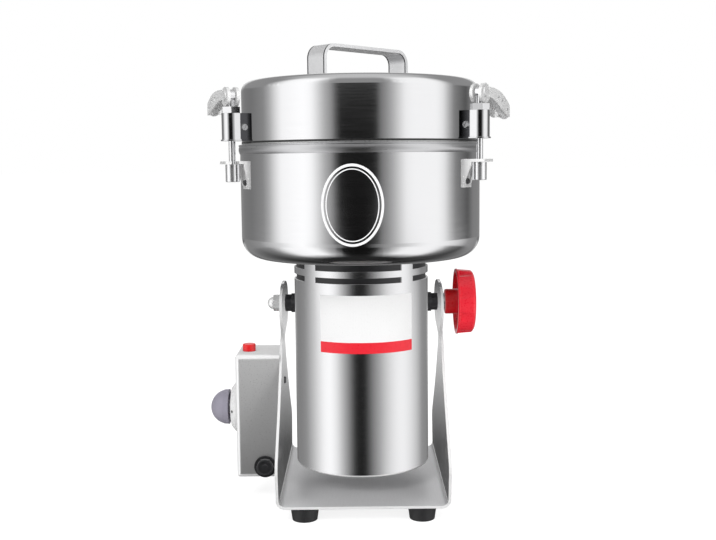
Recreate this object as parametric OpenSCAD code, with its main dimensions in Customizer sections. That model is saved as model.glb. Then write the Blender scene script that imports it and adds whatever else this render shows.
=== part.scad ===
// Swing-type high-speed grain mill.
// A round grinding bowl with a clamped lid stands on an upright motor; bowl and motor tilt as
// one head between the arms of a bent sheet yoke, which carries the switch box.
// Millimetres. X right, Y to the back, Z up. The mill axis is Z, the table is z = 0.

/* [Bowl and lid] */
// Outer radius of the grinding bowl
bowl_r = 113; // [100:1:125]
// Underside of the bowl floor above the table
bowl_z = 231; // [225:1:240]
// Rim of the bowl above the table
rim_z = 337; // [320:1:350]
// Sheet thickness of bowl and lid
wall = 1.5; // [1:0.1:2.5]
// Corner radius between floor and wall of the bowl
bowl_round = 20; // [10:1:28]
// Outer radius of the lid
lid_r = 111; // [98:1:123]
// Flat top of the lid above the table
lid_z = 395; // [380:1:405]
// Corner radius of the lid
lid_round = 9; // [5:1:15]
// Top of the carrying handle above the table
handle_z = 427; // [415:1:435]
// Distance between the two legs of the handle
handle_span = 108; // [90:1:120]

/* [Motor] */
// Outer radius of the motor housing
motor_r = 64; // [58:1:68]
// Underside of the motor housing above the table
motor_z = 32; // [30:1:40]
// Height of the tilt axis above the table
pivot_z = 186; // [180:1:190]

/* [Yoke] */
// Outer face of each arm, from the mill axis
arm_x = 78; // [74:1:84]
// Sheet thickness of the yoke
sheet = 2.5; // [2:0.1:3]
// Half of the depth of the base plate
base_y = 94; // [85:1:105]
// Height of the rubber feet
foot_h = 13; // [10:1:16]

/* [Latches] */
// Distance of the latch rods from the mill axis
latch_r = 127; // [125:0.5:132]
// Length of the latch levers, from the pin to the tip
lever_len = 49; // [40:1:56]

/* [Switch box] */
// Half of the depth of the switch box
box_y = 28; // [24:1:32]
// Top face of the switch box above the table
box_top = 140.5; // [130:0.5:150]

/* [Hidden] */
$fn = 64;
mill = [5.5, -11.8, 0];          // the mill axis, from the middle of the whole footprint
e = 0.02;
run = 0.05;                      // radial clearance of a running fit
latch_az = [-34.3, 205.7, 85.7]; // right, left, rear
latch_dir = [1, -1, 1];          // which way along the rim each lever points
lever_rest = [0, 7, 3];          // how much higher than the right one each closed lever stands
hood_bot = 340;
hood_top = 364.5;
nose_r = 8.8;                    // nose of the hoods, round the rod
nose_lap = 5.2;                  // how far the nose's flat cheeks reach back over the neck
neck = 7.8;                      // half width of the hood's neck
hood_screw_x = -9.1;
pin_z = 380.2;
cam_r = 8.6;
cam_e = 1.2;
bush_top = pin_z - cam_e - cam_r - 0.3;
plate_top = 322;
bracket_w = 8;                   // half width of the latch brackets
steel = [0.78, 0.79, 0.80];
dark = [0.12, 0.12, 0.13];
red = [0.86, 0.10, 0.16];
copper = [0.72, 0.42, 0.22];

// ---------- helpers ----------
module at_latch(i) { rotate([0, 0, latch_az[i]]) translate([latch_r, 0, 0]) children(); }

// drum with a rounded lower outer corner, as a turned profile
module cup2d(r, z0, z1, rc) {
  translate([0, z0 + rc]) square([r, z1 - z0 - rc]);
  translate([0, z0]) square([r - rc, rc + e]);
  translate([r - rc, z0 + rc]) circle(r = rc);
}

module cap2d(r, z0, z1, rc) {
  square_h = z1 - z0 - rc;
  translate([0, z0]) square([r, square_h]);
  translate([0, z0]) square([r - rc, z1 - z0]);
  translate([r - rc, z1 - rc]) circle(r = rc);
}

module right_half() { intersection() { children(); translate([0, -10]) square([400, 800]); } }

module ring(r1, r0, z0, z1) {
  translate([0, 0, z0]) difference() {
    cylinder(r = r1, h = z1 - z0);
    translate([0, 0, -1]) cylinder(r = r0, h = z1 - z0 + 2);
  }
}

module along_x(x0, x1, r) { translate([x0, 0, 0]) rotate([0, 90, 0]) cylinder(r = r, h = x1 - x0); }

// ---------- stand ----------
// Half depth of the arm at a height: wide foot, waist under the pivot, rounded head
arm_prof = [[foot_h - 1, base_y], [foot_h + 3, base_y], [36, 98], [52, 99.5], [68, 85], [87, 65.5],
            [108, 46.5], [128, 30.5], [141, 22], [150, 17.5], [156, 18.5], [162, 25.5], [168, 33.5],
            [175, 39.5], [183, 42], [191, 41], [198, 35.5], [203, 26], [206, 13], [206.6, 0]];

function cr(a, b, c, d, t) = 0.5 * (2 * b + (c - a) * t + (2 * a - 5 * b + 4 * c - d) * t * t
  + (3 * b - a - 3 * c + d) * t * t * t);
function arm_pt(i, t) = let (n = len(arm_prof) - 1, p = arm_prof)
  cr(p[max(i - 1, 0)], p[i], p[min(i + 1, n)], p[min(i + 2, n)], t);
arm_side = [for (i = [0:len(arm_prof) - 2]) for (k = [0:2]) arm_pt(i, k / 3)];

module arm_outline() {
  polygon(concat([for (p = arm_side) [p[1], p[0]]], [[0, 206.6]],
    [for (i = [len(arm_side) - 1:-1:0]) [-arm_side[i][1], arm_side[i][0]]]));
}

function bend(r, z, a0, a1) = [for (k = [0:8]) let (a = a0 + (a1 - a0) * k / 8)
  [arm_x - 8 + r * cos(a), z + 8 + r * sin(a)]];
function mirror_x(p) = [for (i = [len(p) - 1:-1:0]) [-p[i][0], p[i][1]]];
yoke_out = concat(bend(8, foot_h, -90, 0), [[arm_x, 150], [arm_x - 2, 164], [arm_x - 2, 210]]);
yoke_in = concat(bend(8 - sheet, foot_h, -90, 0),
  [[arm_x - sheet, 150], [arm_x - sheet - 2, 164], [arm_x - sheet - 2, 210]]);

module yoke() {
  color(steel) translate(mill) difference() {
    intersection() {
      rotate([90, 0, 0]) translate([0, 0, -120]) linear_extrude(240)
        polygon(concat(yoke_out, [for (i = [len(yoke_in) - 1:-1:0]) yoke_in[i]],
          [for (p = yoke_in) [-p[0], p[1]]], mirror_x(yoke_out)));
      rotate([90, 0, 90]) translate([0, 0, -100]) linear_extrude(200) arm_outline();
    }
    for (s = [-1, 1]) translate([0, 0, pivot_z]) rotate([0, 90 * s, 0]) translate([0, 0, 60])
      cylinder(r = 5 + run, h = 40);
    translate([-100, box_screw_at[0], box_screw_at[1]]) rotate([0, 90, 0]) cylinder(r = 2.1, h = 40);
  }
}

module feet() {
  color(dark) translate(mill) for (x = [-53, 53], y = [-80, 80]) translate([x, y, 0]) difference() {
    cylinder(r1 = 11.4, r2 = 13.2, h = foot_h);
    translate([0, 0, -1]) cylinder(r = 6, h = 6);
    cylinder(r = 2.5, h = 30);
  }
}

// studs welded under the base plate, each with the nut that holds its foot
module foot_screws() {
  color(steel) translate(mill) for (x = [-53, 53], y = [-80, 80]) translate([x, y, 0]) {
    translate([0, 0, 1.6]) cylinder(r = 2.5, h = foot_h - 1.6);
    difference() {
      translate([0, 0, 2.2]) cylinder(r = 4.6, h = 2.8, $fn = 6);
      translate([0, 0, 1]) cylinder(r = 2.4, h = 6);
    }
  }
}

box_x0 = -120;
box_bot = 21.5;
timer_z = 84.5;
btn = [-108.5, -5];
box_screw_at = [-3, 111];        // place along the arm and height
fuse = [-93, 33];

// rounded rectangle from (a0, b0) to (a1, b1)
module rr2d(a0, b0, a1, b1, r) {
  translate([a0 + r, b0]) square([a1 - a0 - 2 * r, b1 - b0]);
  translate([a0, b0 + r]) square([a1 - a0, b1 - b0 - 2 * r]);
  for (a = [a0 + r, a1 - r], b = [b0 + r, b1 - r]) translate([a, b]) circle(r = r);
}

// box shape with rounded outer edges, open-ended towards the arm; g = inset
module box_form(g, x1) {
  intersection() {
    translate([box_x0 + g, 0, 0]) rotate([90, 0, 90]) linear_extrude(x1 - box_x0 - g)
      rr2d(-box_y + g, box_bot + g, box_y - g, box_top - g, 5 - g);
    rotate([90, 0, 0]) translate([0, 0, -50]) linear_extrude(100)
      rr2d(box_x0 + g, box_bot + g, x1 + 40, box_top - g, 4 - g);
    linear_extrude(200) rr2d(box_x0 + g, -box_y + g, x1 + 40, box_y - g, 4 - g);
  }
}

module switch_box() {
  color([0.80, 0.81, 0.83]) translate(mill) difference() {
    union() {
      difference() {
        box_form(0, -arm_x);
        box_form(2.5, -arm_x + 5);
      }
      // boss for the screw that comes through the arm, on a web from the rear wall
      translate([-arm_x - 14, box_screw_at[0], box_screw_at[1]]) {
        rotate([0, 90, 0]) cylinder(r = 7, h = 14);
        translate([0, 0, -3]) cube([14, box_y - box_screw_at[0] - 1, 6]);
      }
    }
    translate([box_x0 - 1, 0, timer_z]) rotate([0, 90, 0]) cylinder(r = 6, h = 8);
    translate([btn[0], btn[1], box_top - 6]) cylinder(r = 6.7, h = 10);
    translate([fuse[0], -box_y + 6, fuse[1]]) rotate([90, 0, 0]) cylinder(r = 7.5, h = 10);
    translate([-99, box_y + 4, 40]) rotate([90, 0, 0]) cylinder(r = 8, h = 10);
    translate([-arm_x - 12.5, box_screw_at[0], box_screw_at[1]]) rotate([0, 90, 0])
      cylinder(r = 2, h = 20);
  }
}

module box_screw() {
  color(dark) translate(mill) translate([-arm_x, box_screw_at[0], box_screw_at[1]]) difference() {
    rotate([0, 90, 0]) {
      translate([0, 0, -12]) cylinder(r = 2, h = 13 + sheet);
      translate([0, 0, sheet]) cylinder(r1 = 3.6, r2 = 2.8, h = 1.8);
    }
    translate([sheet + 1, -0.5, -4]) cube([3, 1, 8]);
  }
}

module dial_plate() {
  color([0.93, 0.93, 0.92]) translate(mill) difference() {
    union() {
      translate([box_x0, 0, timer_z]) rotate([0, -90, 0]) cylinder(r = 24, h = 2.5);
      translate([box_x0 - 2.5, 0, timer_z]) rotate([0, -90, 0]) cylinder(r1 = 24, r2 = 19, h = 4);
    }
    translate([box_x0 + 2, 0, timer_z]) rotate([0, -90, 0]) cylinder(r = 6, h = 20);
  }
}

module timer_body() {
  color(dark) translate(mill) difference() {
    union() {
      translate([box_x0 + 2.5, -19, timer_z - 19]) cube([24, 38, 38]);
      translate([box_x0 - 5, 0, timer_z]) rotate([0, 90, 0]) cylinder(r = 5.9, h = 9);
    }
    translate([box_x0 - 6, 0, timer_z]) rotate([0, 90, 0]) cylinder(r = 3 + run, h = 24);
  }
}

module timer_shaft() {
  color(steel) translate(mill) translate([box_x0 - 20, 0, timer_z]) rotate([0, 90, 0])
    cylinder(r = 3, h = 36);
}

// smooth dome on a short rim, hollow at the back
module timer_knob() {
  dome_r = 16.65;
  color([0.60, 0.57, 0.62]) translate(mill) translate([box_x0 - 9.2, 0, timer_z]) rotate([0, -90, 0])
    difference() {
      union() {
        cylinder(r1 = 16.9, r2 = 16.5, h = 5.2);
        rotate_extrude() right_half() difference() {
          translate([0, 18 - dome_r]) circle(r = dome_r);
          translate([-40, -40]) square([80, 44]);
        }
      }
      translate([0, 0, -1]) cylinder(r = 3, h = 12.8);
      translate([0, 0, -1]) difference() {
        cylinder(r = 13.5, h = 4.5);
        cylinder(r = 6, h = 6);
      }
      // pointer groove over the dome, from near the tip to the rim
      intersection() {
        translate([-0.7, 5, 0]) cube([1.4, 14, 20]);
        translate([-1, 0, 18 - dome_r]) rotate([0, 90, 0]) difference() {
          cylinder(r = dome_r + 2, h = 2);
          translate([0, 0, -1]) cylinder(r = dome_r - 0.7, h = 4);
        }
      }
    }
}

module breaker_body() {
  color(dark) translate(mill) difference() {
    translate([btn[0] - 8, btn[1] - 14, box_top - 33]) cube([16, 28, 30.5]);
    translate([btn[0], btn[1], box_top - 14]) cylinder(r = 5 + run, h = 30);
  }
}

module reset_button() {
  color(red) translate(mill) translate([btn[0], btn[1], box_top - 11]) {
    cylinder(r = 5, h = 14);
    translate([0, 0, 10.9]) rotate_extrude() right_half() cap2d(6.2, 0, 6.9, 1);
  }
}

module fuse_holder() {
  color(dark) translate(mill) translate([fuse[0], -box_y, fuse[1]]) rotate([90, 0, 0]) difference() {
    union() {
      cylinder(r = 10.4, h = 2.4);
      translate([0, 0, -26]) cylinder(r = 7.4, h = 26 + e);
    }
    translate([0, 0, -24]) cylinder(r = 5.5 + run, h = 30);
  }
}

module fuse_cap() {
  color([0.06, 0.06, 0.07]) translate(mill) translate([fuse[0], -box_y, fuse[1]])
  rotate([90, 0, 0]) difference() {
    union() {
      translate([0, 0, -22]) cylinder(r = 5.5, h = 25);
      translate([0, 0, 2.7]) rotate_extrude() right_half() cap2d(7.8, 0, 4, 1.2);
      for (a = [0:60:300]) rotate([0, 0, a]) translate([7.5, 0, 2.7]) cylinder(r = 0.9, h = 2.4);
    }
    // dished ring in the face
    translate([0, 0, 5.8]) difference() {
      cylinder(r = 6.1, h = 3);
      translate([0, 0, -1]) cylinder(r = 3, h = 5);
    }
    translate([0, 0, -23]) cylinder(r = 3.2, h = 21);
  }
}

module cable_gland() {
  color(dark) translate(mill) translate([-99, box_y, 40]) rotate([-90, 0, 0]) difference() {
    union() {
      translate([0, 0, -7]) cylinder(r = 7.9, h = 7 + e);
      cylinder(r = 11, h = 5, $fn = 6);
      translate([0, 0, 5 - e]) cylinder(r1 = 9.3, r2 = 7, h = 9);
    }
    translate([0, 0, -8]) cylinder(r = 3.6, h = 24);
  }
}

// ---------- tilting head: motor ----------
module vents(z0, z1) {
  // four long windows with webs between them
  half = 38.75;
  for (k = [0:3]) rotate([0, 0, 90 * k - 3.6])
    translate([0, 0, z0]) intersection() {
      ring(80, 40, 0, z1 - z0);
      linear_extrude(z1 - z0)
        polygon([[0, 0], [120 * cos(half), -120 * sin(half)], [170, 0], [120 * cos(half), 120 * sin(half)]]);
    }
}

module motor_housing() {
  color(steel) translate(mill) difference() {
    ring(motor_r, motor_r - 1.5, motor_z + 2, 229);
    vents(210.7, 216);
    vents(221.9, 228.2);
    translate([0, 0, pivot_z]) along_x(-80, 80, 5.1);
  }
}

module motor_floor() {
  color(steel) translate(mill) difference() {
    rotate_extrude() intersection() {
      cup2d(motor_r, motor_z, motor_z + 9, 1.8);
      translate([0, motor_z]) square([motor_r, 2]);
    }
    for (a = [0:30:330]) rotate([0, 0, a]) for (r = [24, 36, 48])
      translate([r, 0, motor_z - 1]) cylinder(r = 2.6, h = 5);
  }
}

module cooling_sleeve() {
  // black liner behind the windows
  color(dark) translate(mill) ring(61.8, 60.3, 200, 229);
}

module stator() {
  color([0.35, 0.36, 0.38]) translate(mill) difference() {
    translate([0, 0, 88]) cylinder(r = motor_r - 1.5, h = 62);
    translate([0, 0, 80]) cylinder(r = 33.5, h = 80);
    for (a = [0, 180]) rotate([0, 0, a]) translate([0, 0, 80]) linear_extrude(80)
      difference() {
        union() { translate([30, -26]) square([16, 52]); }
        translate([0, -14]) square([60, 28]);
      }
    for (a = [90, 270]) rotate([0, 0, a]) translate([50, -9, 80]) cube([20, 18, 80]);
  }
}

module field_coils() {
  color(copper) translate(mill) for (a = [0, 180]) rotate([0, 0, a])
    difference() {
      translate([35, -25, 78]) cube([10, 50, 82]);
      translate([30, -14, 88]) cube([20, 28, 62]);
    }
}

module lower_bracket() {
  color([0.62, 0.63, 0.65]) translate(mill) intersection() {
    difference() {
      union() {
        translate([0, 0, 40]) cylinder(r = 17, h = 16);
        for (a = [45, 135]) rotate([0, 0, a]) translate([-70, -7, 40]) cube([140, 14, 7]);
      }
      translate([0, 0, 44]) cylinder(r = 13, h = 16);
      translate([0, 0, 38]) cylinder(r = 6.6, h = 8);
    }
    cylinder(r = motor_r - 1.5, h = 100);
  }
}

module upper_bracket() {
  color([0.62, 0.63, 0.65]) translate(mill) difference() {
    union() {
      translate([0, 0, 204]) cylinder(r = 19, h = 24);
      translate([0, 0, 222]) cylinder(r = 50, h = 7);
      for (a = [45, 135]) rotate([0, 0, a]) translate([-49, -6, 212]) cube([98, 12, 11]);
    }
    translate([0, 0, 202]) cylinder(r = 14, h = 13);
    translate([0, 0, 202]) cylinder(r = 7, h = 30);
    for (a = [45:90:315]) rotate([0, 0, a]) translate([40, 0, 223]) cylinder(r = 2.5, h = 8);
  }
}

module bearings() {
  color(steel) translate(mill) {
    translate([0, 0, 0]) ring(13, 6 + run, 44, 54);
    translate([0, 0, 0]) ring(14, 6 + run, 204, 215);
  }
}

module brush_holders() {
  color([0.55, 0.42, 0.20]) translate(mill) for (a = [0, 180]) rotate([0, 0, a + 90]) difference() {
    intersection() {
      translate([18.6, -5.5, 61]) cube([50, 11, 13]);
      cylinder(r = motor_r - 1.5, h = 100);
    }
    translate([17, -3.5, 63]) cube([30, 7, 9]);
  }
}

module carbon_brushes() {
  color(dark) translate(mill) for (a = [0, 180]) rotate([0, 0, a + 90]) difference() {
    translate([16, -3.4, 63]) cube([28, 6.8, 8.8]);
    translate([0, 0, 60]) cylinder(r = 17 + 0.3, h = 20);
  }
}

// ---------- tilting head: bowl ----------
module bowl() {
  color(steel) translate(mill) difference() {
    rotate_extrude() right_half() difference() {
      cup2d(bowl_r, bowl_z, rim_z - 0.8, bowl_round);
      cup2d(bowl_r - wall, bowl_z + 2, rim_z + 5, bowl_round - 1.5);
    }
    translate([0, 0, bowl_z - 1]) cylinder(r = 9, h = 6);
    for (a = [45:90:315]) rotate([0, 0, a]) translate([40, 0, bowl_z - 1]) cylinder(r = 2.6, h = 5);
  }
}

// rolled band that stiffens the rim: a shallow convex roll under a small bead
module rim_band() {
  low = 328.2;
  bulge = 1.4;
  half = (rim_z - 0.2 - low) / 2;
  roll_r = (half * half + bulge * bulge) / (2 * bulge);
  color(steel) translate(mill) rotate_extrude() {
    intersection() {
      translate([bowl_r + bulge - roll_r, low + half]) circle(r = roll_r);
      translate([bowl_r, low]) square([5, 2 * half]);
    }
    translate([bowl_r - wall, rim_z - 0.8]) square([wall + 0.7, 0.8]);
    translate([bowl_r + 0.7, rim_z - 0.7]) circle(r = 0.7);
  }
}

module bowl_flange() {
  color(steel) translate(mill) difference() {
    ring(motor_r, 17, 229, bowl_z);
    for (a = [45:90:315]) rotate([0, 0, a]) translate([40, 0, 225]) cylinder(r = 2.6, h = 8);
  }
}

module bowl_screws() {
  color(steel) translate(mill) for (a = [45:90:315]) rotate([0, 0, a]) translate([40, 0, 0]) {
    translate([0, 0, 224.5]) cylinder(r = 2.5, h = 9);
    translate([0, 0, bowl_z + 2]) cylinder(r1 = 5, r2 = 3.4, h = 2.2);
  }
}

// hub in the bowl floor with the shaft seal
module seal_hub() {
  color(steel) translate(mill) difference() {
    union() {
      translate([0, 0, 229]) cylinder(r = 8.9, h = 6);
      translate([0, 0, bowl_z + 2]) cylinder(r1 = 19, r2 = 15, h = 7);
    }
    translate([0, 0, 220]) cylinder(r = 6 + run, h = 30);
  }
}

// sheet bracket under the rim: pad on the wall, slotted top plate and two gussets; the one on
// the slot's open side is short, so that the rod's foot can pass it
module latch_bracket() {
  w = bracket_w;
  difference() {
    union() {
      // curved pad that follows the wall
      intersection() {
        ring(bowl_r + 2, bowl_r, 297, plate_top);
        translate([90, -w, 290]) cube([40, 2 * w, 40]);
      }
      // top plate
      difference() {
        translate([100, -w, plate_top - 2.5]) cube([36, 2 * w, 2.5]);
        translate([0, 0, plate_top - 5]) cylinder(r = bowl_r, h = 10);
      }
      // gussets, each [place along the rim, reach]
      for (g = [[-w, 123], [w - 2, 119]]) difference() {
        translate([0, g[0] + 2, 0]) rotate([90, 0, 0]) linear_extrude(2)
          polygon([[108, plate_top - 1], [g[1], plate_top - 1], [g[1], plate_top - 5], [114.4, 299],
            [108, 299]]);
        translate([0, 0, 290]) cylinder(r = bowl_r, h = 40);
      }
    }
    // slot for the rod, open along the rim
    translate([latch_r, 0, plate_top - 5]) cylinder(r = 3.5, h = 10);
    intersection() {
      ring(latch_r + 3.5, latch_r - 3.5, plate_top - 5, plate_top + 5);
      translate([100, 0, plate_top - 5]) cube([40, 30, 10]);
    }
    translate([100, 0, 302.6]) rotate([0, 90, 0]) cylinder(r = 1.6, h = 30);
  }
}

module latch_brackets() {
  color(steel) translate(mill) for (i = [0:2]) rotate([0, 0, latch_az[i]]) latch_bracket();
}

module bracket_screws() {
  color(dark) translate(mill) for (i = [0:2]) rotate([0, 0, latch_az[i]])
    translate([0, 0, 302.6]) rotate([0, 90, 0]) difference() {
      union() {
        translate([0, 0, bowl_r + 2]) cylinder(r1 = 2.8, r2 = 2.1, h = 1.8);
        translate([0, 0, bowl_r]) cylinder(r = 1.6, h = 2.5);
      }
      rotate([0, 0, 35]) translate([-4, -0.4, bowl_r + 2.9]) cube([8, 0.8, 2]);
    }
}

// ---------- tilting head: trunnions ----------
module spacers() {
  color(dark) translate(mill) translate([0, 0, pivot_z]) for (s = [0, 180]) rotate([0, 0, s]) difference() {
    union() {
      difference() {
        along_x(55, 67.2, 9.2);
        translate([0, 0, -20]) cylinder(r = motor_r, h = 40);
      }
      translate([67, 0, 0]) rotate([0, 90, 0]) cylinder(r = 8.2, h = arm_x - sheet - 2 - 67.3, $fn = 6);
    }
    along_x(50, 80, 5);
  }
}

module trunnion_bolt() {
  color(steel) translate(mill) translate([0, 0, pivot_z]) {
    along_x(-84, -60, 5);
    intersection() {
      along_x(-61.8, -57.5, 10);
      translate([0, 0, -20]) cylinder(r = motor_r - 1.5, h = 40);
    }
  }
}

module clamp_stud() {
  color(steel) translate(mill) translate([0, 0, pivot_z]) {
    along_x(60, 100, 5);
    intersection() {
      along_x(57.5, 61.8, 10);
      translate([0, 0, -20]) cylinder(r = motor_r - 1.5, h = 40);
    }
  }
}

// washer and dome nut outside the left arm
module dome_nut() {
  color(steel) translate(mill) translate([0, 0, pivot_z]) difference() {
    union() {
      along_x(-arm_x - 0.1, -arm_x + 1.7, 10);
      translate([-arm_x - 6.6, 0, 0]) rotate([0, 90, 0]) cylinder(r = 8, h = 6.6, $fn = 6);
      translate([-arm_x - 6.4, 0, 0]) rotate([0, -90, 0]) rotate_extrude() right_half()
        intersection() { circle(r = 6); square([10, 10]); }
    }
    along_x(-84, -60, 5);
  }
}

module clamp_washer() {
  color(steel) translate(mill) translate([0, 0, pivot_z]) difference() {
    union() {
      along_x(arm_x - 1.7, arm_x + 0.3, 11);
      along_x(arm_x, arm_x + 1.9, 8);
    }
    along_x(arm_x - 5, arm_x + 5, 5);
  }
}

// cupped knob on a hub: a thin lip at the back, tapering sides, rounded front
module clamp_knob() {
  hub_r = 12;
  cap_r = 31.4;
  cap_z0 = 10.6;
  cap_l = 17.4;
  color(red) translate(mill) translate([arm_x + 2.2, 0, pivot_z]) rotate([0, 90, 0]) difference() {
    rotate_extrude() right_half() difference() {
      union() {
        translate([0, 1.4]) square([hub_r, 13]);
        square([hub_r - 1.4, 5]);
        translate([hub_r - 1.4, 1.4]) circle(r = 1.4);
        intersection() {
          translate([0, cap_z0]) cap2d(cap_r, 0, cap_l, 7.5);
          polygon([[0, 5], [cap_r, 5], [cap_r, cap_z0 + 1.5], [cap_r - 0.5, cap_z0 + 1.8],
            [cap_r - 2.6, 40], [0, 40]]);
        }
      }
      // hollow back of the cap round the hub
      translate([hub_r, cap_z0 - 1]) square([cap_r - 3 - hub_r, 7.4]);
    }
    // soft finger flutes
    for (a = [0:45:315]) rotate([0, 0, a + 22.5]) translate([46.2, 0, 13]) cylinder(r = 17, h = 30);
    translate([0, 0, -1]) cylinder(r = 5 + run, h = 21.5);
  }
}

// ---------- rotor ----------
module shaft() {
  color(steel) translate(mill) translate([0, 0, 42]) cylinder(r = 6, h = 226);
}

module armature() {
  color([0.35, 0.36, 0.38]) translate(mill) difference() {
    translate([0, 0, 88]) cylinder(r = 32.5, h = 62);
    translate([0, 0, 80]) cylinder(r = 6, h = 80);
    for (a = [0:22.5:337.5]) rotate([0, 0, a]) translate([29, -1.5, 80]) cube([10, 3, 80]);
  }
}

module armature_winding() {
  color(copper) translate(mill) {
    ring(27, 6, 150, 160);
    ring(27, 6, 79, 88);
  }
}

module commutator() {
  color(copper) translate(mill) difference() {
    ring(17, 6, 58, 77);
    for (a = [0:15:345]) rotate([0, 0, a]) translate([16.2, -0.3, 57]) cube([2, 0.6, 22]);
  }
}

module cooling_fan() {
  color(dark) translate(mill) difference() {
    union() {
      ring(14, 6, 172, 186);
      ring(50, 6, 172, 174);
      for (a = [0:30:330]) rotate([0, 0, a]) translate([13, -0.8, 173]) cube([36, 1.6, 9]);
    }
    translate([0, 0, 160]) cylinder(r = 6, h = 40);
  }
}

module blade2d(len, w) {
  square([w * 1.24, 22.4], center = true);
  for (a = [0, 180]) rotate(a)
    polygon([[w * 0.62, 11], [w * 0.5, len * 0.92], [w * 0.1, len], [-w * 0.5, len * 0.9],
      [-w * 0.62, 11]]);
}

module blade_low() {
  color(steel) translate(mill) translate([0, 0, 240.4]) difference() {
    linear_extrude(2.6) blade2d(98, 24);
    translate([0, 0, -1]) cylinder(r = 6, h = 6);
  }
}

module blade_mid() {
  color(steel) translate(mill) translate([0, 0, 249]) rotate([0, 0, 60]) difference() {
    union() {
      linear_extrude(2.6) intersection() { blade2d(88, 24); square([60, 110], center = true); }
      for (a = [0, 180]) rotate([0, 0, a]) translate([0, 54, 1.3]) rotate([24, 0, 0])
        translate([0, 0, -1.3]) linear_extrude(2.6)
          polygon([[-11, -1], [11, -1], [10, 30], [-3, 36], [-10, 32]]);
    }
    translate([0, 0, -1]) cylinder(r = 6, h = 6);
  }
}

module blade_top() {
  color(steel) translate(mill) translate([0, 0, 257.6]) rotate([0, 0, 120]) difference() {
    linear_extrude(2.6) blade2d(72, 20);
    translate([0, 0, -1]) cylinder(r = 6, h = 6);
  }
}

module blade_spacers() {
  color(steel) translate(mill) {
    ring(11, 6, 243, 249);
    ring(11, 6, 251.6, 257.6);
  }
}

module blade_nut() {
  color(steel) translate(mill) difference() {
    union() {
      translate([0, 0, 260.2]) cylinder(r = 10.4, h = 8, $fn = 6);
      translate([0, 0, 268]) rotate_extrude() right_half() intersection() {
        circle(r = 8.4);
        square([10, 10]);
      }
    }
    translate([0, 0, 250]) cylinder(r = 6, h = 18);
  }
}

// ---------- lid ----------
module lid_shell() {
  color(steel) translate(mill) difference() {
    rotate_extrude() right_half() difference() {
      cap2d(lid_r, hood_bot - 0.2, lid_z, lid_round);
      cap2d(lid_r - wall, hood_bot - 5, lid_z - wall, lid_round - wall);
    }
    for (s = [-1, 1]) rotate([0, 0, 45]) translate([s * (handle_span / 2 - 8), 0, lid_z - 5])
      cylinder(r = 2.6, h = 10);
  }
}

// L-shaped rubber ring between lid and rim, with a lip inside the bowl
module lid_gasket() {
  color([0.16, 0.16, 0.17]) translate(mill) union() {
    ring(lid_r + 0.4, lid_r - 9, rim_z + 0.3, hood_bot - 0.2);
    ring(109.6, 106, rim_z - 5, rim_z + 0.4);
  }
}

module handle() {
  w = 23;
  t = 3;
  a = handle_span / 2 + t / 2;
  color(steel) translate(mill) rotate([0, 0, 45]) rotate([90, 0, 0]) translate([0, 0, -w / 2]) {
    difference() {
      linear_extrude(w) difference() {
        union() {
          translate([-a, lid_z]) square([2 * a, handle_z - lid_z - 13]);
          translate([-a + 13, lid_z]) square([2 * a - 26, handle_z - lid_z]);
          for (s = [-1, 1]) translate([s * (a - 13), handle_z - 13]) circle(r = 13);
        }
        translate([-a + t, lid_z + t]) square([2 * (a - t), handle_z - lid_z - 13 - t]);
        translate([-a + 13, lid_z + t]) square([2 * a - 26, handle_z - lid_z - 2 * t]);
        for (s = [-1, 1]) translate([s * (a - 13), handle_z - 13]) circle(r = 13 - t);
        // the two turned-in feet stay, the middle is open
        translate([-a + 20, lid_z - 1]) square([2 * a - 40, 10]);
      }
      for (s = [-1, 1]) translate([s * (handle_span / 2 - 8), lid_z - 2, w / 2]) rotate([-90, 0, 0])
        cylinder(r = 2.6, h = 8);
    }
  }
}

module handle_screws() {
  color(steel) translate(mill) rotate([0, 0, 45]) for (s = [-1, 1])
  translate([s * (handle_span / 2 - 8), 0, 0]) {
    translate([0, 0, lid_z - 6]) cylinder(r = 2.5, h = 9.2);
    translate([0, 0, lid_z + 3]) cylinder(r1 = 4.6, r2 = 3.2, h = 2);
    translate([0, 0, lid_z - wall - 4]) cylinder(r = 4.6, h = 4, $fn = 6);
  }
}

// sheet hood on the lid wall: round nose with short flat cheeks over a narrower neck, closed top
// and bottom
module hood2d(g) {
  circle(r = nose_r - g);
  translate([-nose_lap + g, -nose_r + g]) square([nose_lap - g, 2 * (nose_r - g)]);
  translate([-latch_r + 100, -neck + g]) square([latch_r - 100, 2 * (neck - g)]);
}

module latch_hood() {
  difference() {
    union() {
      translate([0, 0, hood_bot]) linear_extrude(hood_top - hood_bot) hood2d(0);
      translate([0, 0, hood_bot]) linear_extrude(1.2) hood2d(-1);
    }
    translate([0, 0, hood_bot + 2]) linear_extrude(hood_top - hood_bot - 3.5) hood2d(1.5);
    translate([-latch_r, 0, hood_bot - 5]) cylinder(r = lid_r, h = 40);
    translate([0, 0, hood_bot - 1]) cylinder(r = 3 + run, h = 6);
    translate([0, 0, hood_top - 5]) cylinder(r = 5.6, h = 10);
    translate([hood_screw_x, 0, 352]) rotate([90, 0, 0]) translate([0, 0, -15]) cylinder(r = 2, h = 30);
  }
}

module latch_hoods() { color(steel) translate(mill) for (i = [0:2]) at_latch(i) latch_hood(); }

module hood_screws() {
  color(steel) translate(mill) for (i = [0:2]) at_latch(i) for (s = [0, 180])
    translate([hood_screw_x, 0, 352]) rotate([90, 0, s]) difference() {
      union() {
        translate([0, 0, neck - 3.5]) cylinder(r = 2, h = 3.6);
        translate([0, 0, neck]) cylinder(r1 = 3.3, r2 = 2.7, h = 2.2);
      }
      rotate([0, 0, 60]) translate([-4, -0.45, neck + 1.2]) cube([8, 0.9, 2]);
    }
}

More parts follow.
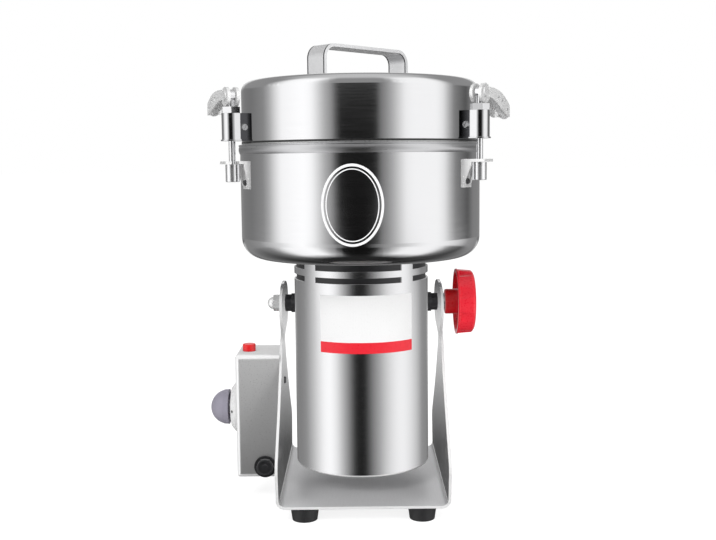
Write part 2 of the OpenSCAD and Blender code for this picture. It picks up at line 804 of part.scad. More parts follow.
module hex_bushings() {
  color(steel) translate(mill) for (i = [0:2]) at_latch(i) rotate([0, 0, 12]) difference() {
    union() {
      translate([0, 0, hood_top]) cylinder(r = 8.9, h = bush_top - hood_top, $fn = 6);
      translate([0, 0, hood_top - 5]) cylinder(r = 5.5, h = 5 + e);
    }
    translate([0, 0, hood_top - 10]) cylinder(r = 3 + run, h = 20);
  }
}

// ---------- latch rods and levers ----------
module rod(i) {
  color(steel) translate(mill) at_latch(i) difference() {
    union() {
      translate([0, 0, 318]) cylinder(r = 3, h = pin_z - 12 - 318);
      intersection() {
        translate([0, 0, pin_z - 12 - e]) cylinder(r = 3, h = 12);
        translate([-2.5, -5, pin_z - 15]) cube([5, 10, 20]);
      }
      translate([-2.5, 0, pin_z]) rotate([0, 90, 0]) cylinder(r = 4.7, h = 5);
      // cylindrical foot that pulls up against the bracket
      translate([0, 0, 303.5]) rotate_extrude() right_half() {
        translate([0, 0.8]) square([6.3, 14.9]);
        square([5.5, 3]);
        translate([5.5, 0.8]) circle(r = 0.8);
      }
    }
    translate([-10, 0, pin_z]) rotate([0, 90, 0]) cylinder(r = 2.5 + run, h = 20);
  }
}
module rod_right() { rod(0); }
module rod_left() { rod(1); }
module rod_rear() { rod(2); }

// plan of the lever's blade, widening from the pin to a round end; g = inset
module blade_plan(g) {
  w0 = 5.8 - g;
  w1 = 8.4 - g;
  l = lever_len - 8.4;
  polygon([[-w0, 0], [w0, 0], [w1, 26], [w1, l], [-w1, l], [-w1, 26]]);
  translate([0, l]) circle(r = w1);
}

// arc of the blade in side view, between two radii
module blade_arc(r1, r0) {
  difference() {
    translate([5, -50]) circle(r = r1);
    translate([5, -50]) circle(r = r0);
    translate([-60, -120]) square([65.8, 240]);
    translate([-60, -120]) square([240, 90]);
  }
}

// Fork with two cam cheeks and a riveted cross pin. The blade is a curved channel that points
// along +Y: its web arches over two side flanges that fan out downwards, with three holes each.
module lever_form() {
  difference() {
    union() {
      translate([-5.8, 0, -cam_e]) rotate([0, 90, 0]) cylinder(r = cam_r, h = 11.6);
      intersection() {
        rotate([90, 0, 90]) translate([0, 0, -10]) linear_extrude(20) blade_arc(54.4, 52);
        translate([0, 0, -40]) linear_extrude(80) blade_plan(0);
      }
      intersection() {
        rotate([90, 0, 90]) translate([0, 0, -10]) linear_extrude(20) intersection() {
          blade_arc(53, 20);
          polygon([[5, 10], [5, -4], [12, -5.5], [19, -9.5], [25, -13.5], [31, -17], [37, -19.6],
            [42, -20.8], [47, -20.3], [50, 0]]);
        }
        translate([0, 0, -40]) linear_extrude(80) difference() {
          blade_plan(0);
          blade_plan(1.8);
        }
      }
    }
    // gap between the cheeks for the eye of the rod
    translate([-2.9, -12, -14]) cube([5.8, 17.6, 28]);
    for (h = [[21.5, -4.6], [28.5, -7.4], [38.5, -14.8]]) translate([0, h[0], h[1]])
      along_x(-12, 12, 1.7);
  }
  along_x(-6.2, 6.2, 2.5);
  along_x(-7, -5.7, 4.6);
  along_x(5.7, 7, 4.6);
}

// each latch closes at its own angle of the lever
module lever(i) {
  color(steel) translate(mill) at_latch(i) translate([0, 0, pin_z])
    if (latch_dir[i] > 0) rotate([lever_rest[i], 0, 0]) lever_form();
    else mirror([0, 1, 0]) rotate([lever_rest[i], 0, 0]) lever_form();
}
module lever_right() { lever(0); }
module lever_left() { lever(1); }
module lever_rear() { lever(2); }

yoke();
feet();
foot_screws();
switch_box();
box_screw();
dial_plate();
timer_body();
timer_shaft();
timer_knob();
breaker_body();
reset_button();
fuse_holder();
fuse_cap();
cable_gland();
motor_housing();
motor_floor();
cooling_sleeve();
stator();
field_coils();
lower_bracket();
upper_bracket();
bearings();
brush_holders();
carbon_brushes();
bowl();
rim_band();
bowl_flange();
bowl_screws();
seal_hub();
latch_brackets();
bracket_screws();
spacers();
trunnion_bolt();
clamp_stud();
dome_nut();
clamp_washer();
clamp_knob();
shaft();
armature();
armature_winding();
commutator();
cooling_fan();
blade_low();
blade_mid();
blade_top();
blade_spacers();
blade_nut();
lid_shell();
lid_gasket();
handle();
handle_screws();
latch_hoods();
hood_screws();
hex_bushings();
rod_right();
rod_left();
rod_rear();
lever_right();
lever_left();
lever_rear();
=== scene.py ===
"""Electric grain mill: studio, camera, materials and the small visible details on the CAD frame."""
import math

import bmesh
import bpy
from mathutils import Matrix, Vector


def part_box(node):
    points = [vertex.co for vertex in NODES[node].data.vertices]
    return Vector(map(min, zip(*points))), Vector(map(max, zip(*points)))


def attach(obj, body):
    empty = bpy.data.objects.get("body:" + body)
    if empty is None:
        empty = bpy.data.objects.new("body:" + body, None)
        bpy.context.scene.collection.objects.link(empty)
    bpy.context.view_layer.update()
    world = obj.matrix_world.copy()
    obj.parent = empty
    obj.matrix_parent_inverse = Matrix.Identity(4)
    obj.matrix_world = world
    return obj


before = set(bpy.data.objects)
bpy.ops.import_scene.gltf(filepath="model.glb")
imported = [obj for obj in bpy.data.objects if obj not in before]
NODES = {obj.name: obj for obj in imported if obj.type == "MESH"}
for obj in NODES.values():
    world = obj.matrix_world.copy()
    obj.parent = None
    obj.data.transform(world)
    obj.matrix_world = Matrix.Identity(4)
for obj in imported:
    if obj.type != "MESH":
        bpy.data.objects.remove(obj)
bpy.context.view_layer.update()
MM = 0.001

# The mill's own axis, from the motor housing's box
low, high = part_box("motor_housing")
AXIS = Vector(((low.x + high.x) / 2, (low.y + high.y) / 2, 0))
HOUSING_R = (high.x - low.x) / 2
low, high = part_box("bowl")
BOWL_R = (high.x - low.x) / 2


# ---------------------------------------------------------------- camera
CAMERA_FROM_AXIS = Vector((-2.9, -951.0, 319.4)) * MM
CAMERA_PITCH = math.radians(6.14)
CAMERA_ROLL = math.radians(-0.56)
LENS = 50.0
SENSOR = 36.0


def make_camera():
    """The camera stands before the mill at the bowl's height and looks slightly down."""
    data = bpy.data.cameras.new("camera")
    data.lens = LENS
    data.sensor_width = SENSOR
    camera = bpy.data.objects.new("camera", data)
    bpy.context.scene.collection.objects.link(camera)
    camera.matrix_world = (
        Matrix.Translation(AXIS + CAMERA_FROM_AXIS)
        @ Matrix.Rotation(math.pi / 2 - CAMERA_PITCH, 4, "X")
        @ Matrix.Rotation(CAMERA_ROLL, 4, "Z")
    )
    bpy.context.scene.camera = camera
    bpy.context.scene.view_settings.view_transform = "Standard"


# ---------------------------------------------------------------- node helpers
def link(tree, a, b):
    tree.links.new(a, b)


def grey(value):
    return (value, value, value)


def math_node(tree, operation, a, b=None):
    node = tree.nodes.new("ShaderNodeMath")
    node.operation = operation
    for socket, value in zip(node.inputs, (a, b)):
        if isinstance(value, (int, float)):
            socket.default_value = value
        elif value is not None:
            link(tree, value, socket)
    return node.outputs[0]


def ramp_node(tree, fac, stops):
    """A colour ramp with linear steps between its stops; a stop's value is a grey or a colour."""
    node = tree.nodes.new("ShaderNodeValToRGB")
    elements = node.color_ramp.elements
    while len(elements) > 1:
        elements.remove(elements[0])
    for i, (position, value) in enumerate(stops):
        element = elements[0] if i == 0 else elements.new(position)
        element.position = position
        colour = value if isinstance(value, tuple) else grey(value)
        element.color = (*colour, 1)
    link(tree, fac, node.inputs["Fac"])
    return node.outputs["Color"]


def mix_colour(tree, fac, a, b, blend="MIX"):
    """Colour a where fac is 0 and colour b where it is 1; each is a socket, a number or a colour."""
    node = tree.nodes.new("ShaderNodeMix")
    node.data_type = "RGBA"
    node.blend_type = blend
    for socket, value in ((node.inputs[0], fac), (node.inputs[6], a), (node.inputs[7], b)):
        if isinstance(value, (int, float)):
            socket.default_value = value
        elif isinstance(value, tuple):
            socket.default_value = (*value, 1)
        else:
            link(tree, value, socket)
    return node.outputs[2]


def mix_shader(tree, fac, a, b):
    node = tree.nodes.new("ShaderNodeMixShader")
    for socket, value in zip(node.inputs, (fac, a, b)):
        link(tree, value, socket)
    return node.outputs[0]


def map_range(tree, value, start, end, first=0.0, last=1.0, smooth=False):
    """Goes from first to last while value goes from start to end, and stays there."""
    node = tree.nodes.new("ShaderNodeMapRange")
    if smooth:
        node.interpolation_type = "SMOOTHSTEP"
    link(tree, value, node.inputs["Value"])
    for socket, number in (("From Min", start), ("From Max", end), ("To Min", first), ("To Max", last)):
        node.inputs[socket].default_value = number
    return node.outputs[0]


def split(tree, vector):
    """A vector's X, Y and Z as sockets."""
    node = tree.nodes.new("ShaderNodeSeparateXYZ")
    link(tree, vector, node.inputs[0])
    return node.outputs


def rest_place(tree):
    """The X, Y and Z of a place on the object at rest, in metres."""
    return split(tree, tree.nodes.new("ShaderNodeTexCoord").outputs["Object"])


def from_axis(tree, place):
    """A place's X and Y from the mill's axis."""
    x = math_node(tree, "SUBTRACT", place["X"], AXIS.x)
    y = math_node(tree, "SUBTRACT", place["Y"], AXIS.y)
    return x, y


def distance(tree, x, y):
    squares = [math_node(tree, "MULTIPLY", side, side) for side in (x, y)]
    return math_node(tree, "SQRT", math_node(tree, "ADD", squares[0], squares[1]))


# ---------------------------------------------------------------- studio
# Brightness of the studio walls by direction, in degrees from the camera's side (-Y),
# positive to the right: a dark camera stand, two long soft boxes, dim side walls.
# The bowl and the lid reflect the high part, the motor housing the low part.
HIGH_WALLS = [
    (-180, 0.28), (-165, 0.25), (-140, 0.21), (-126, 0.20), (-104, 0.28), (-95, 0.48),
    (-87, 0.83), (-79, 1.14), (-54, 1.26), (-46, 1.18), (-39, 0.82), (-33, 0.51), (-27, 0.35),
    (-22.5, 0.10), (-18.5, 0.006), (11.5, 0.006), (15.5, 0.02), (19.5, 0.21), (25, 0.33),
    (31, 0.52), (43, 1.05), (50, 1.12), (77, 1.12), (85, 0.97), (93, 0.54), (101, 0.25),
    (111, 0.17), (122, 0.10), (135, 0.24), (165, 0.25), (180, 0.28),
]
LOW_WALLS = [
    (-180, 0.25), (-133, 0.26), (-112, 0.33), (-95, 0.60), (-81, 0.88), (-68, 1.18),
    (-56, 1.28), (-44, 1.00), (-33, 0.57), (-22, 0.27), (-13, 0.03), (-8, 0.006), (5, 0.006),
    (9, 0.07), (19, 0.28), (30, 0.45), (40, 0.68), (52, 0.92), (64, 1.10), (76, 1.12),
    (90, 0.99), (106, 0.74), (125, 0.33), (150, 0.27), (180, 0.25),
]
# Heights in the studio are a direction's Z, from -1 straight down to 1 straight up.
# Where the low part of the walls shows (0) or the high part (1)
PARTS = [(-0.40, 1), (-0.33, 0), (-0.102, 0), (-0.086, 1)]
# The camera stand ends here, so that nothing reflects a black sky
STAND_FROM = 0.085
STAND_TO = 0.16
ABOVE_STAND = 0.30
# High up there is a dim ceiling
CEILING = 0.62
CEILING_FROM = 0.70
CEILING_TO = 0.98
# Far down the walls fade into the dark under the table's edge
BELOW = 0.02
BELOW_FROM = -0.80
BELOW_TO = -0.95
# The wall behind the object, by height; it fills the directions whose Y is past these two
BACK = [
    (-0.30, 0.04), (-0.275, 0.05), (-0.23, 0.30), (-0.175, 0.75), (-0.15, 0.70), (-0.130, 0.22),
    (-0.120, 0.05), (-0.105, 0.08), (-0.09, 0.28), (0.08, 0.28), (0.17, 0.78), (0.26, 0.95),
]
BACK_FROM = 0.86
BACK_TO = 0.96
# Low down behind the object the studio is dark: fully so where the direction's Y is past PIT_BACK
PIT = 0.02
PIT_FROM = -0.40
PIT_TO = -0.80
PIT_BACK = 0.50
# The even level at which dull surfaces are lit
PLAIN_LIGHT = 0.55

# The floor; to the camera a part of it glows, so that it reads white and keeps the shadow
FLOOR_HALF = 40.0
FLOOR_GREY = 0.9
FLOOR_GLOW = 1.32
FLOOR_GLOW_SHARE = 0.62

# Lamps: name, place and watts
LAMPS = [
    ("key", (-1.1, -1.5, 1.7), 24),
    ("fill", (1.4, -1.3, 1.0), 14),
    ("back", (0.2, 1.5, 1.6), 12),
]
LAMP_SIZE = 1.0
LAMP_TARGET = Vector((0, 0, 0.2))


def by_height(stops, unit=1.0):
    """Stops by height as a ramp has them, with places from 0 to 1 and values in parts of unit."""
    return [(height / 2 + 0.5, value / unit) for height, value in stops]


def make_walls(tree, direction, height, unit):
    """The walls all round, with the camera stand's upper end."""
    towards_camera = math_node(tree, "MULTIPLY", direction["Y"], -1.0)
    turn = math_node(tree, "ARCTAN2", direction["X"], towards_camera)
    place = math_node(tree, "ADD", math_node(tree, "DIVIDE", turn, 2 * math.pi), 0.5)
    low_part, high_part = (
        ramp_node(tree, place, [((angle + 180) / 360, value / unit) for angle, value in stops])
        for stops in (LOW_WALLS, HIGH_WALLS)
    )
    walls = mix_colour(tree, ramp_node(tree, height, by_height(PARTS)), low_part, high_part)
    sky = ramp_node(tree, height, by_height([(STAND_FROM, 0), (STAND_TO, ABOVE_STAND)], unit))
    return mix_colour(tree, 1.0, walls, sky, "LIGHTEN")


def make_world():
    """The studio that reflections see; dull surfaces see an even grey and the camera white."""
    world = bpy.data.worlds.new("studio")
    bpy.context.scene.world = world
    world.use_nodes = True
    tree = world.node_tree
    tree.nodes.clear()
    direction = split(tree, tree.nodes.new("ShaderNodeTexCoord").outputs["Generated"])
    height = math_node(tree, "ADD", math_node(tree, "MULTIPLY", direction["Z"], 0.5), 0.5)
    # Levels are stored in parts of the brightest wall, which is the background's strength
    unit = max(value for _, value in HIGH_WALLS + LOW_WALLS)

    studio = make_walls(tree, direction, height, unit)
    behind = map_range(tree, direction["Y"], BACK_FROM, BACK_TO)
    studio = mix_colour(tree, behind, studio, ramp_node(tree, height, by_height(BACK, unit)))
    low_down = map_range(tree, direction["Z"], PIT_FROM, PIT_TO)
    rearward = map_range(tree, direction["Y"], 0.0, PIT_BACK)
    pit = math_node(tree, "MULTIPLY", low_down, rearward)
    studio = mix_colour(tree, pit, studio, grey(PIT / unit))
    above = map_range(tree, direction["Z"], CEILING_FROM, CEILING_TO, smooth=True)
    studio = mix_colour(tree, above, studio, grey(CEILING / unit))
    below = map_range(tree, direction["Z"], BELOW_FROM, BELOW_TO)
    studio = mix_colour(tree, below, studio, grey(BELOW / unit))

    rays = tree.nodes.new("ShaderNodeLightPath").outputs
    lit = mix_colour(tree, rays["Is Diffuse Ray"], studio, grey(PLAIN_LIGHT / unit))
    seen = mix_colour(tree, rays["Is Camera Ray"], lit, grey(1 / unit))
    background = tree.nodes.new("ShaderNodeBackground")
    background.inputs["Strength"].default_value = unit
    link(tree, seen, background.inputs["Color"])
    output = tree.nodes.new("ShaderNodeOutputWorld")
    link(tree, background.outputs[0], output.inputs["Surface"])


def make_floor_material():
    """White to the camera, clear to reflections, so that the bands on the drums run down to the end."""
    material = bpy.data.materials.new("floor_white")
    material.use_nodes = True
    tree = material.node_tree
    tree.nodes.clear()
    rays = tree.nodes.new("ShaderNodeLightPath").outputs
    diffuse = tree.nodes.new("ShaderNodeBsdfDiffuse")
    diffuse.inputs["Color"].default_value = (*grey(FLOOR_GREY), 1)
    glow = tree.nodes.new("ShaderNodeEmission")
    glow.inputs["Strength"].default_value = FLOOR_GLOW
    share = math_node(tree, "MULTIPLY", rays["Is Camera Ray"], FLOOR_GLOW_SHARE)
    pale = mix_shader(tree, share, diffuse.outputs[0], glow.outputs[0])
    clear = tree.nodes.new("ShaderNodeBsdfTransparent")
    output = tree.nodes.new("ShaderNodeOutputMaterial")
    shown = mix_shader(tree, rays["Is Glossy Ray"], pale, clear.outputs[0])
    link(tree, shown, output.inputs["Surface"])
    return material


def make_floor():
    mesh = bpy.data.meshes.new("floor")
    floor = bpy.data.objects.new("floor", mesh)
    bpy.context.scene.collection.objects.link(floor)
    half = FLOOR_HALF
    corners = [(-half, -half, 0), (half, -half, 0), (half, half, 0), (-half, half, 0)]
    mesh.from_pydata(corners, [], [(0, 1, 2, 3)])
    mesh.materials.append(make_floor_material())


def make_lamp(name, place, watts):
    """A round soft lamp that lights dull surfaces and doesn't show in reflections."""
    data = bpy.data.lights.new(name, "AREA")
    data.shape = "DISK"
    data.size = LAMP_SIZE
    data.energy = watts
    lamp = bpy.data.objects.new(name, data)
    bpy.context.scene.collection.objects.link(lamp)
    lamp.location = place
    lamp.rotation_euler = (LAMP_TARGET - Vector(place)).to_track_quat("-Z", "Y").to_euler()
    lamp.visible_glossy = False


make_camera()
make_world()
make_floor()
for name, place, watts in LAMPS:
    make_lamp(name, place, watts)


# ---------------------------------------------------------------- kinds of surface
NOISE_DETAIL = 3.0
# Most of the noise lies between these, so they stand for its lowest and highest value
NOISE_LOW = 0.3
NOISE_HIGH = 0.7
SMOOTHEST = 0.02
COAT_ROUGHNESS = 0.08
BEVEL_SAMPLES = 4


def shader_of(material):
    return material.node_tree.nodes["Principled BSDF"]


def noise_node(tree, grain, polar):
    """A noise over the object at rest, as a number from 0 to 1."""
    if polar:
        place = rest_place(tree)
        x, y = from_axis(tree, place)
        turned = (math_node(tree, "ARCTAN2", y, x), distance(tree, x, y), place["Z"])
        joined = tree.nodes.new("ShaderNodeCombineXYZ")
        for socket, value in zip(joined.inputs, turned):
            link(tree, value, socket)
        position = joined.outputs[0]
    else:
        position = tree.nodes.new("ShaderNodeTexCoord").outputs["Object"]
    mapping = tree.nodes.new("ShaderNodeMapping")
    mapping.inputs["Scale"].default_value = grain if isinstance(grain, tuple) else (grain, grain, grain)
    link(tree, position, mapping.inputs["Vector"])
    noise = tree.nodes.new("ShaderNodeTexNoise")
    noise.inputs["Scale"].default_value = 1.0
    noise.inputs["Detail"].default_value = NOISE_DETAIL
    link(tree, mapping.outputs[0], noise.inputs["Vector"])
    return noise.outputs["Fac"]


def relief_node(tree, height, bump, bump_mm, edge_mm):
    """The normal of a surface with softened edges, bumps or both; None without either."""
    normal = None
    if edge_mm:
        bevel = tree.nodes.new("ShaderNodeBevel")
        bevel.samples = BEVEL_SAMPLES
        bevel.inputs["Radius"].default_value = edge_mm * MM
        normal = bevel.outputs[0]
    if bump:
        relief = tree.nodes.new("ShaderNodeBump")
        relief.inputs["Strength"].default_value = bump
        relief.inputs["Distance"].default_value = bump_mm * MM
        link(tree, height, relief.inputs["Height"])
        if normal is not None:
            link(tree, normal, relief.inputs["Normal"])
        normal = relief.outputs[0]
    return normal


def surface(name, colour, metallic=0.0, roughness=0.5, spread=0.0, grain=300, tint=0.0,
            bump=0.0, bump_mm=0.05, edge_mm=0.0, coat=0.0, polar=False):
    """A principled surface whose roughness, tint and height follow one noise.

    grain is the noise's scale per metre, as one number or along X, Y and Z; polar runs it round the
    mill's axis, with X as the turn and Y as the distance from the axis. spread and tint are how far
    roughness and colour go up and down with the noise, and edge_mm is how far edges are softened.
    """
    material = bpy.data.materials.new(name)
    material.use_nodes = True
    tree = material.node_tree
    shader = shader_of(material)
    shader.inputs["Metallic"].default_value = metallic
    shader.inputs["Coat Weight"].default_value = coat
    shader.inputs["Coat Roughness"].default_value = COAT_ROUGHNESS

    noise = noise_node(tree, grain, polar)
    dark = tuple(max(c * (1 - tint), 0) for c in colour)
    light = tuple(min(c * (1 + tint), 1) for c in colour)
    tinted = ramp_node(tree, noise, [(NOISE_LOW, dark), (NOISE_HIGH, light)])
    link(tree, tinted, shader.inputs["Base Color"])
    smooth = max(roughness - spread, SMOOTHEST)
    rough = map_range(tree, noise, NOISE_LOW, NOISE_HIGH, smooth, roughness + spread)
    link(tree, rough, shader.inputs["Roughness"])
    normal = relief_node(tree, noise, bump, bump_mm, edge_mm)
    if normal is not None:
        link(tree, normal, shader.inputs["Normal"])
    return material


# The functions below change a surface in places. Places are on the object at rest, in metres,
# and soft is half the width of the change.
def zone(material, axis, limit, soft, colour):
    """Colours the part below limit along "X", "Y" or "Z", or by "AWAY", the distance from the axis."""
    tree = material.node_tree
    base = shader_of(material).inputs["Base Color"]
    place = rest_place(tree)
    value = distance(tree, *from_axis(tree, place)) if axis == "AWAY" else place[axis]
    mask = map_range(tree, value, limit - soft, limit + soft)
    link(tree, mix_colour(tree, mask, colour, base.links[0].from_socket), base)


def metal_below(material, limit, soft, metallic):
    """Gives the part below a height its own share of metal."""
    tree = material.node_tree
    metal = shader_of(material).inputs["Metallic"]
    height = rest_place(tree)["Z"]
    level = map_range(tree, height, limit - soft, limit + soft, metallic, metal.default_value)
    link(tree, level, metal)


def dull_below(material, limit, soft, roughness, metallic):
    """Gives the part below a height its own roughness and at most this share of metal."""
    tree = material.node_tree
    base = shader_of(material).inputs["Roughness"]
    metal = shader_of(material).inputs["Metallic"]
    mask = map_range(tree, rest_place(tree)["Z"], limit - soft, limit + soft)
    link(tree, mix_colour(tree, mask, grey(roughness), base.links[0].from_socket), base)
    most = map_range(tree, mask, 0.0, 1.0, metallic, 1.0)
    link(tree, math_node(tree, "MINIMUM", metal.links[0].from_socket, most), metal)


def painted_reflection_lines(material, across, start, end, soft, colour):
    """Dark lines painted along both long edges of a flat strap that crosses the mill's axis, a painted
    reflection.

    across is the direction across the strap, seen from above; start and end are the lines'
    distances from the strap's middle.
    """
    tree = material.node_tree
    base = shader_of(material).inputs["Base Color"]
    steps = [math_node(tree, "MULTIPLY", side, share)
             for side, share in zip(from_axis(tree, rest_place(tree)), across)]
    away = math_node(tree, "ABSOLUTE", math_node(tree, "ADD", steps[0], steps[1]))
    inner = map_range(tree, away, start - soft, start + soft)
    outer = map_range(tree, away, end + soft, end - soft)
    mask = math_node(tree, "MULTIPLY", inner, outer)
    link(tree, mix_colour(tree, mask, base.links[0].from_socket, colour), base)


# A face that is cut off square to Y, by the Y of its normal
CUT_FROM = 0.25
CUT_TO = 0.40
# A rounded edge of a box, by the largest share of its normal
ROUND_FROM = 0.985
ROUND_TO = 0.93
EDGE_METALLIC = 0.25


def painted_edge_highlight(material, colour, cut=False):
    """Edges painted lighter and duller: on a rounded box where the wall turns, a painted highlight; on
    a cut sheet its cut faces, pale ground metal with a painted highlight on top.
    """
    tree = material.node_tree
    shader = shader_of(material)
    base = shader.inputs["Base Color"]
    metal = shader.inputs["Metallic"]
    normal = split(tree, tree.nodes.new("ShaderNodeTexCoord").outputs["Normal"])
    x, y, z = (math_node(tree, "ABSOLUTE", normal[axis]) for axis in "XYZ")
    if cut:
        mask = map_range(tree, y, CUT_FROM, CUT_TO)
    else:
        largest = math_node(tree, "MAXIMUM", math_node(tree, "MAXIMUM", x, y), z)
        mask = map_range(tree, largest, ROUND_FROM, ROUND_TO)
    link(tree, mix_colour(tree, mask, base.links[0].from_socket, colour), base)
    link(tree, map_range(tree, mask, 0.0, 1.0, metal.default_value, EDGE_METALLIC), metal)


# ---------------------------------------------------------------- materials
STEEL = (0.80, 0.80, 0.81)
PALE_EDGE_HIGHLIGHT = (0.92, 0.92, 0.92)

# The drums: polished bowl and lid, brushed motor housing and rim band
polished = surface("steel_polished", STEEL, metallic=1, roughness=0.135, spread=0.015,
                   grain=(5, 40, 900), tint=0.01, bump=0.02, bump_mm=0.01, polar=True)
satin_round = surface("steel_satin_round", STEEL, metallic=1, roughness=0.21, spread=0.03,
                      grain=(8, 60, 2200), tint=0.02, bump=0.05, bump_mm=0.01, polar=True)
# The rim band's steel has a darker colour than the drums: a painted shade for its darker reflection
satin_band = surface("steel_satin_band", (0.62, 0.62, 0.63), metallic=1, roughness=0.30, spread=0.03,
                     grain=(8, 60, 900), tint=0.02, polar=True)
satin_floor = surface("steel_satin_floor", (0.86, 0.86, 0.86), metallic=0.35, roughness=0.36,
                      spread=0.03, grain=400, tint=0.01)

# The yoke: pale cut faces, partly ground metal and partly a painted highlight, and a duller, less
# metallic finish on its base plate
PLATE_HEIGHT = 4.5 * MM
PLATE_SOFT = 1.5 * MM
satin_sheet = surface("steel_satin_sheet", (0.78, 0.78, 0.79), metallic=0.88, roughness=0.17,
                      spread=0.02, grain=(900, 60, 60), tint=0.02, edge_mm=0.8)
painted_edge_highlight(satin_sheet, PALE_EDGE_HIGHLIGHT, cut=True)
yoke_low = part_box("yoke")[0].z
dull_below(satin_sheet, yoke_low + PLATE_HEIGHT, PLATE_SOFT, roughness=0.42, metallic=0.60)

# The handle stands diagonally on the lid; the rounded edges of its strap get dark lines painted on, a
# painted reflection of the dark studio
HANDLE_TURN = math.radians(45)
LINE_FROM = 9.9 * MM
LINE_TO = 11.35 * MM
LINE_SOFT = 0.12 * MM
strap = surface("steel_strap", (0.92, 0.92, 0.93), metallic=0.65, roughness=0.12, spread=0.03,
                grain=260, tint=0.02)
painted_reflection_lines(strap, (math.sin(HANDLE_TURN), -math.cos(HANDLE_TURN)), LINE_FROM, LINE_TO, LINE_SOFT,
               (0.07, 0.07, 0.075))

# The latches; behind its polished nose each hood's neck, nearer to the mill's axis, is painted dark: a
# painted shade
NECK_END = 121.7 * MM
NECK_SOFT = 0.1 * MM
hood_steel = surface("steel_hood", (0.76, 0.76, 0.77), metallic=1, roughness=0.10, spread=0.03,
                     grain=260, tint=0.02, bump=0.04, bump_mm=0.02, edge_mm=0.3)
zone(hood_steel, "AWAY", NECK_END, NECK_SOFT, (0.07, 0.07, 0.075))
pressed = surface("steel_pressed", (0.76, 0.76, 0.77), metallic=1, roughness=0.13, spread=0.04,
                  grain=260, tint=0.02, bump=0.04, bump_mm=0.02, edge_mm=0.4)
light_steel = surface("steel_light", (0.90, 0.90, 0.90), metallic=0.45, roughness=0.24, spread=0.04,
                      grain=500, tint=0.01)
rod_steel = surface("steel_rod", (0.86, 0.86, 0.87), metallic=0.85, roughness=0.12, spread=0.03,
                    grain=500, tint=0.02, edge_mm=0.2)
dark_steel = surface("steel_dark", (0.40, 0.40, 0.41), metallic=1, roughness=0.22, spread=0.04,
                     grain=500, tint=0.03, edge_mm=0.2)

# Turned and blackened small parts
bright = surface("steel_bright", (0.78, 0.78, 0.79), metallic=1, roughness=0.16, spread=0.05,
                 grain=700, tint=0.03, bump=0.05, bump_mm=0.02, edge_mm=0.35)
blackened = surface("steel_blackened", (0.11, 0.11, 0.115), metallic=0.6, roughness=0.38, spread=0.08,
                    grain=600, tint=0.2, bump=0.15, bump_mm=0.03, edge_mm=0.3)

# The switch box's silver paint is painted darker towards its foot, evenly over the whole height: a
# painted shade for the light falling off down the box
box_paint = surface("box_silver_paint", (0.80, 0.80, 0.80), metallic=0.55, roughness=0.30,
                    spread=0.03, grain=1500, tint=0.02)
low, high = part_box("switch_box")
zone(box_paint, "Z", (low.z + high.z) / 2, (high.z - low.z) / 2, (0.41, 0.41, 0.41))
# The box's rounded edges are painted lighter: a painted highlight
painted_edge_highlight(box_paint, PALE_EDGE_HIGHLIGHT)

# The silicone gasket is painted dark under the lid's edge, a painted shadow of the gap there, with a
# bright lip of light silicone at its foot
GAP_HEIGHT = 1.9 * MM
LIP_SOFT = 0.3 * MM
gasket = surface("silicone_grey", (0.02, 0.02, 0.02), roughness=0.30, spread=0.05, grain=500,
                 tint=0.1, bump=0.1, bump_mm=0.03)
lip_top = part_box("lid_shell")[0].z - GAP_HEIGHT
zone(gasket, "Z", lip_top, LIP_SOFT, (0.70, 0.70, 0.70))
metal_below(gasket, lip_top, LIP_SOFT, metallic=0.90)

# Rubber and plastics; the clamp knob's hub, on the side of the mill's axis, is painted a deeper red, a
# painted shade where it sits close to the housing
HUB_END = 90.3 * MM
HUB_SOFT = 0.4 * MM
rubber = surface("rubber_black", (0.018, 0.018, 0.019), roughness=0.58, spread=0.08, grain=500,
                 tint=0.2, bump=0.2)
black_plastic = surface("plastic_black", (0.022, 0.022, 0.024), roughness=0.34, spread=0.06,
                        grain=900, tint=0.15, bump=0.12, bump_mm=0.03, edge_mm=0.4)
red_plastic = surface("plastic_red", (0.82, 0.010, 0.014), roughness=0.30, spread=0.05, grain=700,
                      tint=0.03, bump=0.08, bump_mm=0.03, edge_mm=0.8, coat=0.25)
knob_red = surface("plastic_red_knob", (0.88, 0.012, 0.032), roughness=0.30, spread=0.05, grain=700,
                   tint=0.03, bump=0.08, bump_mm=0.03, edge_mm=0.8, coat=0.25)
zone(knob_red, "X", AXIS.x + HUB_END, HUB_SOFT, (0.80, 0.002, 0.010))
mauve = surface("plastic_mauve", (0.295, 0.28, 0.34), roughness=0.50, spread=0.05, grain=900,
                tint=0.03, bump=0.08, bump_mm=0.03, edge_mm=0.5)
white_plastic = surface("plastic_white", (0.82, 0.82, 0.82), roughness=0.28, spread=0.04, grain=400,
                        tint=0.01, bump=0.03, bump_mm=0.02, edge_mm=0.5)

# Label and print
paper = surface("label_white", (0.84, 0.84, 0.84), roughness=0.30, spread=0.03, grain=800, tint=0.01)
paper_red = surface("label_red", (0.80, 0.012, 0.028), roughness=0.30, spread=0.03, grain=800,
                    tint=0.02)
silver_ink = surface("ink_silver", (0.86, 0.86, 0.87), roughness=0.35, spread=0.03, grain=900,
                     tint=0.02)

# Inside the motor
copper = surface("copper", (0.62, 0.26, 0.12), metallic=1, roughness=0.35, spread=0.06,
                 grain=(200, 200, 2500), tint=0.15, bump=0.3, bump_mm=0.1)
laminated = surface("laminated_sheet", (0.26, 0.27, 0.28), metallic=1, roughness=0.42, spread=0.06,
                    grain=(40, 40, 2000), tint=0.25, bump=0.3)
cast = surface("cast_aluminium", (0.50, 0.51, 0.53), metallic=1, roughness=0.5, spread=0.06,
               grain=900, tint=0.1, bump=0.35, bump_mm=0.08)
brass = surface("brass", (0.60, 0.42, 0.14), metallic=1, roughness=0.3, spread=0.05, grain=500,
                tint=0.05)
carbon = surface("carbon", (0.02, 0.02, 0.02), roughness=0.7, spread=0.05, grain=1500, tint=0.2)

